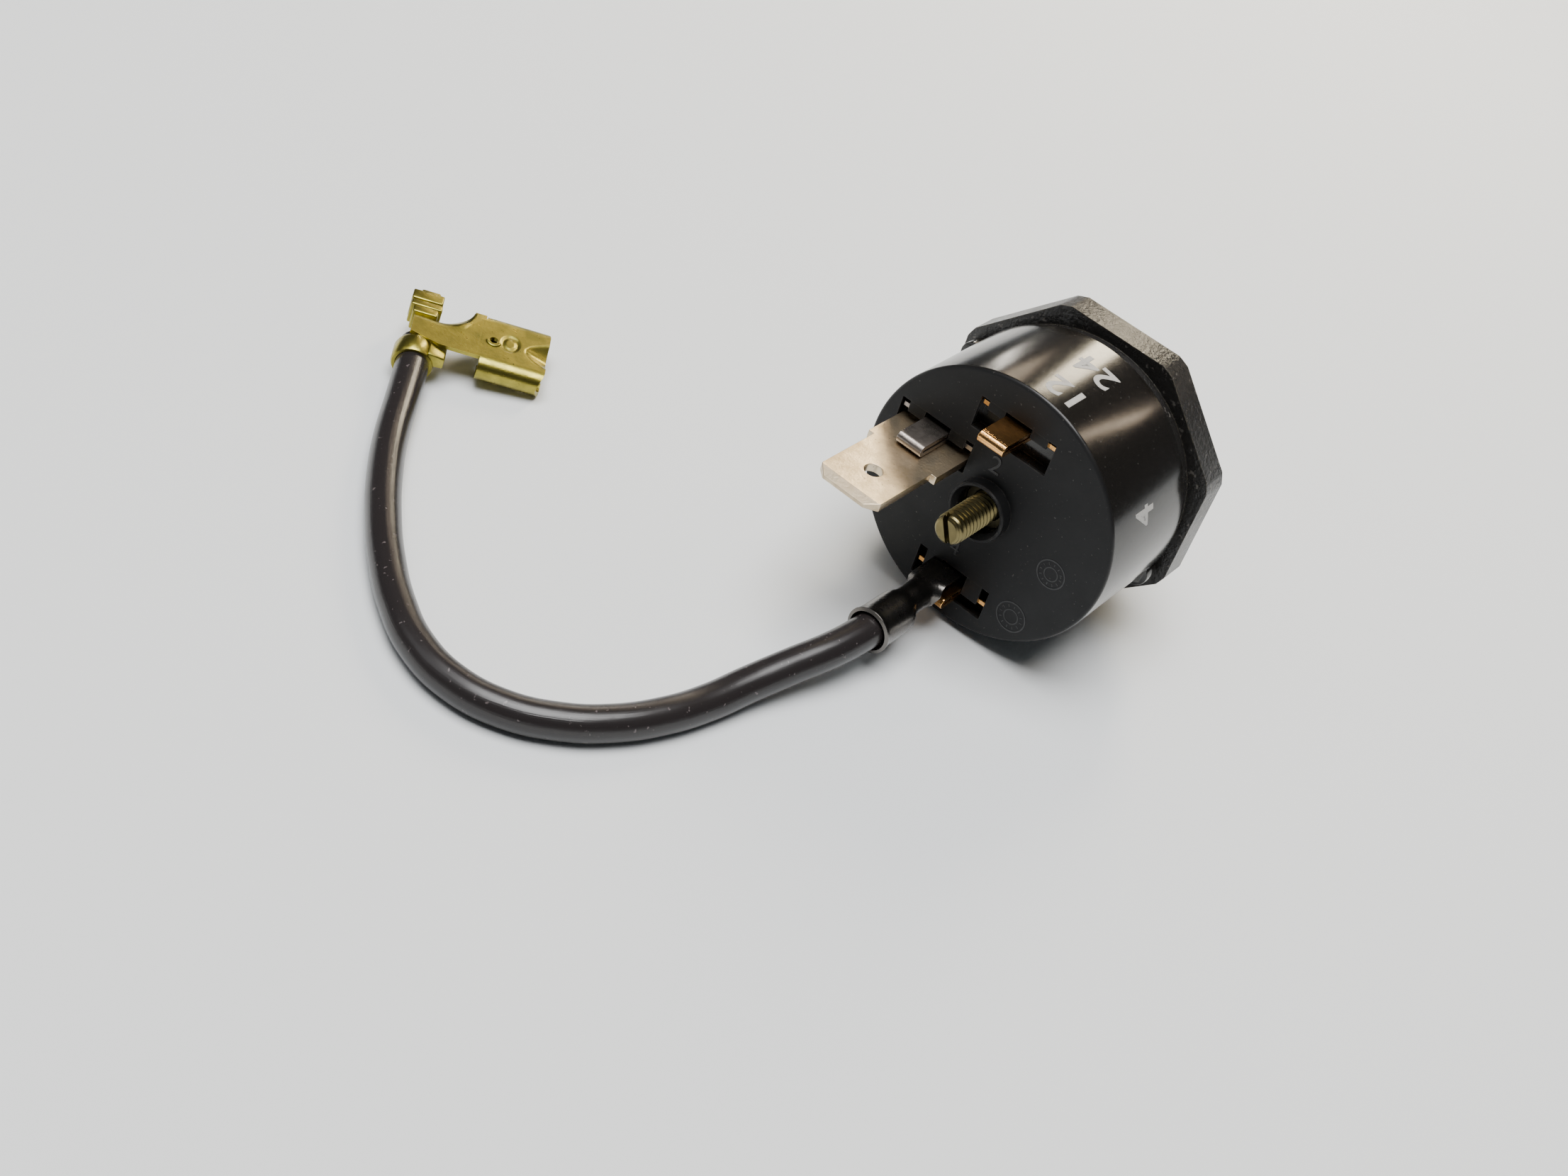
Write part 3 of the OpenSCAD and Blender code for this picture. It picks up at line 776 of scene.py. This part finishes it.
lathe(shank, [(bore_r, 16.8), (6.5, 16.8), (6.5, 17.8), (4.0, 17.8), (4.0, hex_t),
              (bore_r, hex_t)], steps=96, closed=True)
piece(joined([shank, hexagon, thread]), "port_thread", port_brass, "switch",
      ["port_fitting"], angle=28)

# %% [markdown]
# ## Marks on the end face
# The numbers of the three terminals stand up a little from the face, and two date clocks show when
# the tool was last set. Text is made a mesh first, then stood up against the face.


# %% Raised numbers
def letters(text, size, thick, bold=0.0):
    """A bmesh of plain text, centred, in the x-y plane, thick along z."""
    curve = bpy.data.curves.new("scratch", "FONT")
    curve.body, curve.size, curve.extrude = text, size, thick / 2
    curve.align_x, curve.align_y = "CENTER", "CENTER"
    curve.resolution_u, curve.offset = 4, bold
    obj = bpy.data.objects.new("scratch", curve)
    bpy.context.scene.collection.objects.link(obj)
    evaluated = obj.evaluated_get(bpy.context.evaluated_depsgraph_get())
    bm = bmesh.new()
    bm.from_mesh(evaluated.to_mesh())
    bpy.data.objects.remove(obj)
    bpy.data.curves.remove(curve)
    bmesh.ops.remove_doubles(bm, verts=bm.verts, dist=1e-4)
    return bm


marks = []
number_thick, ring_w, clock_base = 0.12, 0.12, 0.05
stand = Matrix.Rotation(math.pi / 2, 4, "X")
for text, x, z, size in (("2", -0.4, 4.3, 2.4), ("4", -1.0, -5.4, 2.0), ("1", -6.6, -0.6, 2.0)):
    number = letters(text, size, number_thick)
    bmesh.ops.transform(number, matrix=Matrix.Translation((x, 0, z)) @ stand, verts=number.verts)
    marks.append(number)
for x, z, radius in ((6.2, -7.9, 1.5), (7.9, -1.6, 1.4)):
    clock = bmesh.new()
    for outer, width, rise, steps in ((radius, ring_w, 0.03, 48), (radius * 0.5, 0.1, 0.02, 32)):
        lathe(clock, [(outer, clock_base), (outer, -rise), (outer - width, -rise),
                      (outer - width, clock_base)], steps=steps, closed=True, centre=(x, z))
    for month in range(12):
        dot = box(clock, (x + radius * 0.62, -0.02, z - 0.04), (x + radius * 0.8, 0.04, z + 0.04))
        bmesh.ops.rotate(clock, cent=(x, 0, z), verts=dot,
                         matrix=Matrix.Rotation(TAU * month / 12, 3, "Y"))
    marks.append(clock)
piece(joined(marks), "face_marks", digit_black, "switch", angle=30)

# %% [markdown]
# The print on the side is pad-printed ink. The text is cut into narrow slices and wrapped round the
# housing by turning x into an angle, so that the ink follows the curve a hair above it.


# %% Printed numbers
def printed(text, size, angle, t, wide=1.0):
    """Text wrapped on the round side, its tops towards the terminals."""
    ink_thick, boldness, slice_w, lift = 0.02, 0.07, 0.25, 0.005
    bm = letters(text, size, ink_thick, boldness)
    for k in range(-20, 21):
        bmesh.ops.bisect_plane(bm, geom=bm.verts[:] + bm.edges[:] + bm.faces[:],
                               plane_co=(k * slice_w, 0, 0), plane_no=(1, 0, 0))
    for vert in bm.verts:
        x, y, z = vert.co
        turned = math.radians(angle) + wide * x / housing_r
        r = housing_r + lift + z
        vert.co = (r * math.cos(turned), t - y, r * math.sin(turned))
    return bm


ink = [printed("24", 3.7, 83, 7.8, 1.05), printed("12", 3.7, 82, 2.9, 1.05),
       printed("4", 3.9, 24, 5.25)]
piece(joined(ink), "side_print", print_white, "switch", angle=40)

# %% [markdown]
# ## Crimps
# The lead's crimp and the receptacle are stamped sheet. A sheet part is lofted: a row of points is
# extruded from one cross-section to the next, and the sheet gets its thickness at the end.


# %% Loft a sheet
def loft(bm, rows, closed=False):
    """Extrudes the first row of points through all the others. A closed row is a ring."""
    def pairs(verts):
        return list(zip(verts, verts[1:] + verts[:1] if closed else verts[1:]))

    verts = [bm.verts.new(p) for p in rows[0]]
    edges = [bm.edges.new(pair) for pair in pairs(verts)]
    for row in rows[1:]:
        order = {vert: i for i, vert in enumerate(verts)}
        before = {tuple(round(c, 5) for c in vert.co): i for vert, i in order.items()}
        made = bmesh.ops.extrude_edge_only(bm, edges=edges)["geom"]
        fresh = [g for g in made if isinstance(g, bmesh.types.BMVert)]
        fresh.sort(key=lambda v: before[tuple(round(c, 5) for c in v.co)])
        edges = [bm.edges.get(pair) for pair in pairs(fresh)]
        for vert, place in zip(fresh, row):
            vert.co = place
        verts = fresh


def thicken(bm, wall, away_from):
    """Turns all faces away from a point or line, then gives the sheet its wall on the inside."""
    bmesh.ops.recalc_face_normals(bm, faces=bm.faces)
    votes = sum(face.normal.dot(face.calc_center_median() - Vector(away_from)) *
                face.calc_area() for face in bm.faces)
    if votes < 0:
        bmesh.ops.reverse_faces(bm, faces=bm.faces)
    bmesh.ops.solidify(bm, geom=bm.faces[:], thickness=wall)


# %% [markdown]
# The lead's own crimp is a closed barrel with a flared mouth. Nearer the face it pinches in round
# the bare strands, then flattens into the tongue that is welded to terminal 4.

# %% Lead crimp
crimp_x, crimp_wall = -1.0, 0.36
crimp_sections = [
    # t, radius, half of the wrap in degrees, height of the top
    (-10.8, 2.16, 170, -7.14), (-10.6, 2.08, 170, -7.22), (-10.2, 2.02, 170, -7.28),
    (-9.6, 1.99, 170, -7.31), (-8.6, 1.97, 170, -7.33), (-7.6, 1.97, 168, -7.33),
    (-7.0, 1.96, 150, -7.33), (-6.6, 1.88, 122, -7.36), (-6.3, 1.70, 112, -7.42),
    (-6.0, 1.50, 130, -7.46), (-5.7, 1.36, 160, -7.45), (-4.8, 1.34, 165, -7.43),
    (-3.9, 1.36, 160, -7.42), (-3.5, 1.5, 110, -7.42), (-3.1, 2.2, 55, -7.41),
    (-2.7, 4.5, 21, -7.41), (-2.2, 12, 7.3, -7.41), (-1.0, 12, 7.3, -7.41),
    (0.8, 12, 7.3, -7.41)]
steps_round = 32
rows = []
for t, radius, half, top in crimp_sections:
    spread = [math.radians(half * (2 * i / steps_round - 1)) for i in range(steps_round + 1)]
    rows.append([Vector((crimp_x + radius * math.sin(a), t, top - radius + radius * math.cos(a)))
                 for a in spread])
crimp = bmesh.new()
loft(crimp, rows)
thicken(crimp, crimp_wall, (crimp_x, -6, -9.3))
lead_crimp = piece(crimp, "lead_crimp_sheet", crimp_tin, "switch", ["lead_crimp"],
                   angle=50)
soften(lead_crimp, 0.05, 2, 50)

# %% [markdown]
# ## Flag receptacle
# The far end of the lead carries a flag receptacle: its box lies across the lead. The box is one
# sheet whose two long edges are rolled over the blade. It is drawn in its own frame, x into the
# box, y along the lead and z away from the blade, and that frame is turned as the part lies.

# %% Receptacle box
flag_place = (-52.9, -14.5, -10.8)
flag_turn = [math.radians(angle) for angle in (4, 6, 40.5)]
FLAG = (FROM_FACE @ Matrix.Translation(flag_place) @
        Matrix.Rotation(flag_turn[2], 4, "Z") @ Matrix.Rotation(flag_turn[1], 4, "Y") @
        Matrix.Rotation(flag_turn[0], 4, "X"))
box_x, box_end, top_z, wall = 5.4, 11.9, 1.95, 0.4
roll_r, roll_y = 1.3, 2.55
roll = [(roll_y + roll_r * math.cos(a), top_z - roll_r + roll_r * math.sin(a))
        for a in (math.radians(-135 + 225 * i / 18) for i in range(19))]
flat_ys = [roll_y - 2 * roll_y * i / 28 for i in range(1, 28)]
profile = roll + [(y, top_z) for y in flat_ys] + [(-y, z) for y, z in reversed(roll)]


def pressed(x, y, z):
    """The flat's height after the mouth's cone and the ring-shaped dimple are pressed in it."""
    cone_start, cone_y, cone_half, cone_deep = 9.7, -0.25, 1.75, 0.85
    ring_x, ring_y, ring_deep = 8.25, 0.1, 0.12
    if z < top_z - 0.05:
        return z
    along = min(1, (x - cone_start) / (box_end - cone_start))
    if along > 0:
        side = min(1, abs(y - cone_y) / (cone_half * along ** 0.55))
        z -= cone_deep * along ** 0.8 * (1 - side ** 1.7)
    from_ring = math.hypot((x - ring_x) / 0.95, (y - ring_y) / 1.25) - 0.74
    return z - ring_deep * max(0, 1 - from_ring ** 2 / 0.045)


rows = []
late_start, lean_back = 0.35, 0.45  # of the rolls, at the neck's end and at the mouth
for i in range(45):
    x = box_x + (box_end - box_x) * i / 44
    row = []
    for y, z in profile:
        over = max(0, abs(y) - roll_y) / roll_r
        late = late_start * max(0, 1 - i / 3) * (1 if z < top_z - 0.02 else 0)
        mouth = lean_back * over ** 2 * max(0, (i - 30) / 14)
        row.append(Vector((x + late - mouth, y, pressed(x, y, z))))
    rows.append(row)
flag_box = bmesh.new()
loft(flag_box, rows)
thicken(flag_box, wall, (8.6, 0, 0.6))
print("box faces:", len(flag_box.faces))

# %% [markdown]
# A small lance is pressed out of the box near the neck. It leaves a little hole with a raised lip
# round part of it, and holds the receptacle in its insulating sleeve.

# %% Lance
lance_x, lance_y, hole_r, lip_r = 6.7, 0.0, 0.42, 0.17
hole = bmesh.new()
cylinder(hole, hole_r, 2, Matrix.Translation((lance_x, lance_y, top_z)))
flag_box = boolean(flag_box, hole)
lip_rows = []
for i in range(17):
    a = math.radians(-170 + 150 * i / 16)
    middle = Vector((lance_x + 0.62 * math.cos(a), lance_y - 0.1 + 0.72 * math.sin(a),
                     top_z - 0.02))
    out = Vector((math.cos(a), math.sin(a), 0))
    lip_rows.append([middle + (out * math.cos(b) + Vector((0, 0, 1)) * math.sin(b)) * lip_r
                     for b in (math.radians(30 * k) for k in range(7))])
lip = bmesh.new()
loft(lip, lip_rows)
thicken(lip, 0.1, (lance_x, lance_y, top_z - 0.6))
print("lip faces:", len(lip.faces))

# %% [markdown]
# The neck joins the box to the two crimps. Its free edge is drawn down in the press, and its
# outline sweeps up in a hollow curve to the full width of the box. A faint ridge stiffens it.

# %% Neck
neck_start, neck_end = -0.9, box_x + 0.25
sweep_start, sweep_length, sweep_rise = 1.6, 2.9, 2.2
neck_rows = []
for i in range(31):
    x = neck_start + (neck_end - neck_start) * i / 30
    low = -1.9 - 0.85 * min(1, max(0, (x - neck_start) / 2.8))
    rise = min(1, max(0, (x - sweep_start) / sweep_length))
    high = (1.25 - 0.15 * min(1, max(0, x / sweep_start))
            + sweep_rise * (1 - math.sqrt(1 - rise ** 2)))
    droop = 0.75 * max(0, 1 - rise * 0.9)
    row = []
    for k in range(21):
        y = low + (high - low) * k / 20
        near = max(0, (y - (high - 1.3)) / 1.3)
        ridge = 0.1 * math.exp(-((x - 3.6) / 0.7) ** 2 - ((y - high + 0.9) / 0.5) ** 2)
        row.append(Vector((x, y, top_z - droop * near ** 2.2 + ridge - 0.02)))
    neck_rows.append(row)
neck = bmesh.new()
loft(neck, neck_rows)
thicken(neck, wall, (2.5, 0, -6))
print("neck faces:", len(neck.faces))

# %% [markdown]
# One crimp wraps the insulation and has a flat tail beside it. The other is pressed square on the
# bare strands, in bands that the die stepped down one after another.

# %% Crimps of the receptacle
band = bmesh.new()
lathe(band, [(1.56, -4.4), (1.84, -4.4), (1.95, -4.2), (1.95, -2.45), (1.86, -2.2), (1.56, -2.2)],
      steps=72, closed=True)
tail = bmesh.new()
made = box(tail, (1.1, -4.3, 0.2), (2.75, -2.3, 1.78))
for vert in made:
    if vert.co.x > 2:
        vert.co.z = vert.co.z * 0.72 + 0.12
        vert.co.y = vert.co.y + 0.15 if vert.co.y < -3 else vert.co.y
bands = []
for low, high in (((-1.15, 1.0, -0.4), (1.2, 2.0, 1.86)),
                  ((-1.45, 1.9, -0.45), (1.5, 2.75, 1.92)),
                  ((-1.5, 2.82, -0.5), (1.45, 4.15, 1.95)),
                  ((-0.75, 4.1, 0.2), (1.05, 4.7, 1.7))):
    bands.append(bmesh.new())
    box(bands[-1], low, high)
for block in [tail] + bands:
    bmesh.ops.bevel(block, geom=block.edges[:], offset=0.16, offset_type="OFFSET", segments=3,
                    profile=0.5, affect="EDGES", material=-1, clamp_overlap=True)
flag_receptacle = piece(joined([flag_box, lip, neck, band, tail] + bands), "flag_sheet",
                        flag_brass, "switch", ["flag_receptacle"], place=FLAG,
                        angle=42)

# %% [markdown]
# The bare copper is a bundle of fine strands with a slight twist. Each strand is a thin round wire
# on a curve; the same bundle serves both ends of the lead.


# %% Strands
def bundle(place, t0, t1, radius):
    """A bmesh of twisted strands along t, in the frame of place."""
    bm = bmesh.new()
    wire, twist = 0.17, math.radians(40)
    rings = [(0, 1), (0.42, 6), (0.8, 12)]  # share of the radius, and number of strands
    for share, number in rings:
        for k in range(number):
            a0 = TAU * k / number + share
            rows = []
            for i in range(9):
                t = t0 + (t1 - t0) * i / 8
                a = a0 + twist * i / 8
                middle = Vector((radius * share * math.cos(a), t, radius * share * math.sin(a)))
                rows.append([middle + Vector((wire * math.cos(b), 0, wire * math.sin(b)))
                             for b in (TAU * m / 8 for m in range(8))])
            loft(bm, rows, closed=True)
    bmesh.ops.remove_doubles(bm, verts=bm.verts, dist=1e-4)
    open_rims = [edge for edge in bm.edges if edge.is_boundary]
    bmesh.ops.holes_fill(bm, edges=open_rims, sides=10)
    bmesh.ops.recalc_face_normals(bm, faces=bm.faces)
    bmesh.ops.transform(bm, matrix=place, verts=bm.verts)
    return bm


core_r = 0.88
near_end = bundle(Matrix.Translation((crimp_x, 0, -8.73)), -7.15, -3.2, core_r)
far_end = bundle(FROM_FACE.inverted() @ FLAG @ Matrix.Translation((0, 0, 0.6)), -1.25, 4.85,
                 core_r)
lead_strands = piece(joined([near_end, far_end]), "strand_bundles", strand_copper, "switch",
                     ["lead_strands"], angle=60)

# %% [markdown]
# ## Floor, light and room
# A plain pale floor and plain soft lamps. Four narrow warm lamps stand behind the switch, where
# the polished side and the flat brass mirror them. A weak one in front opens the dark face, and
# a large one overhead lights the floor.

# %% Floor and lamps
floor = bmesh.new()
bmesh.ops.create_grid(floor, x_segments=1, y_segments=1, size=3)
bmesh.ops.translate(floor, vec=(0, 0, floor_z), verts=floor.verts)
floor_mesh = bpy.data.meshes.new("floor")
floor.to_mesh(floor_mesh)
floor.free()
paper, n, shader = start("paper", (0.78, 0.80, 0.81), 0.9, specular=0.2)
floor_mesh.materials.append(paper)
floor_obj = bpy.data.objects.new("floor", floor_mesh)
bpy.context.scene.collection.objects.link(floor_obj)
floor_obj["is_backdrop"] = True


def lamp(name, azimuth, elevation, distance, size, power, color):
    """A soft rectangular lamp that looks at the switch from an azimuth and elevation."""
    a, e = math.radians(azimuth), math.radians(elevation)
    away = Vector((math.sin(a) * math.cos(e), -math.cos(a) * math.cos(e), math.sin(e)))
    data = bpy.data.lights.new(name, "AREA")
    data.shape, data.size, data.size_y = "RECTANGLE", size[0], size[1]
    data.energy, data.color = power, color
    obj = bpy.data.objects.new(name, data)
    obj.location = Vector((0, -0.02, 0)) + away * distance
    obj.rotation_mode = "QUATERNION"
    obj.rotation_quaternion = away.to_track_quat("Z", "Y")
    bpy.context.scene.collection.objects.link(obj)


lamps = [
    # name, azimuth and elevation in degrees, distance and size in metres, watts, colour
    ("back_key", -161, 34, 0.3, (0.05, 0.12), 0.46, (1.0, 0.86, 0.62)),
    ("back_band", -142, 33, 0.5, (0.06, 0.10), 0.09, (1.0, 0.80, 0.58)),
    ("back_strip", 155, 40, 0.5, (0.03, 0.16), 0.16, (1.0, 0.80, 0.58)),
    ("left_strip", -138, 18, 0.5, (0.015, 0.10), 0.08, (1.0, 0.93, 0.82)),
    ("front_fill", -50, 50, 1.2, (0.6, 0.6), 1.4, (0.97, 0.98, 1.0)),
    ("top_fill", 20, 86, 2.0, (1.4, 1.4), 74.0, (1.0, 1.0, 1.0))]
for row in lamps:
    lamp(*row)
world = bpy.data.worlds.new("room")
world.use_nodes = True
room = world.node_tree.nodes["Background"]
room.inputs["Color"].default_value = (0.62, 0.68, 0.72, 1)
room.inputs["Strength"].default_value = 0.10
bpy.context.scene.world = world

# %% [markdown]
# ## Carried-over nodes
# The CAD nodes that stay are already the right shape, so each one only gets its finish.

# %% Finishes of the nodes that stay
node_finish = {
    "diaphragm": rubber_black, "piston": piston_alloy, "range_spring": spring_steel,
    "spring_seat": inner_brass, "blade_pin": spring_steel, "contact_blade": blade_bronze,
    "moving_contact": contact_silver, "fixed_contact_2": contact_silver,
    "fixed_contact_4": contact_silver}
for name, finish in node_finish.items():
    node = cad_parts[name]
    node.data.materials.clear()
    node.data.materials.append(finish)
print("finished nodes:", len(node_finish))

# %% [markdown]
# ## Boxes
# The two boxes, of the CAD model and of the finished look, are printed side by side.

# %% Print the boxes
look_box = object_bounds()
for label, (low, high) in (("cad", cad_box), ("look", look_box)):
    print(label, [round(c / MM, 2) for c in low], [round(c / MM, 2) for c in high])
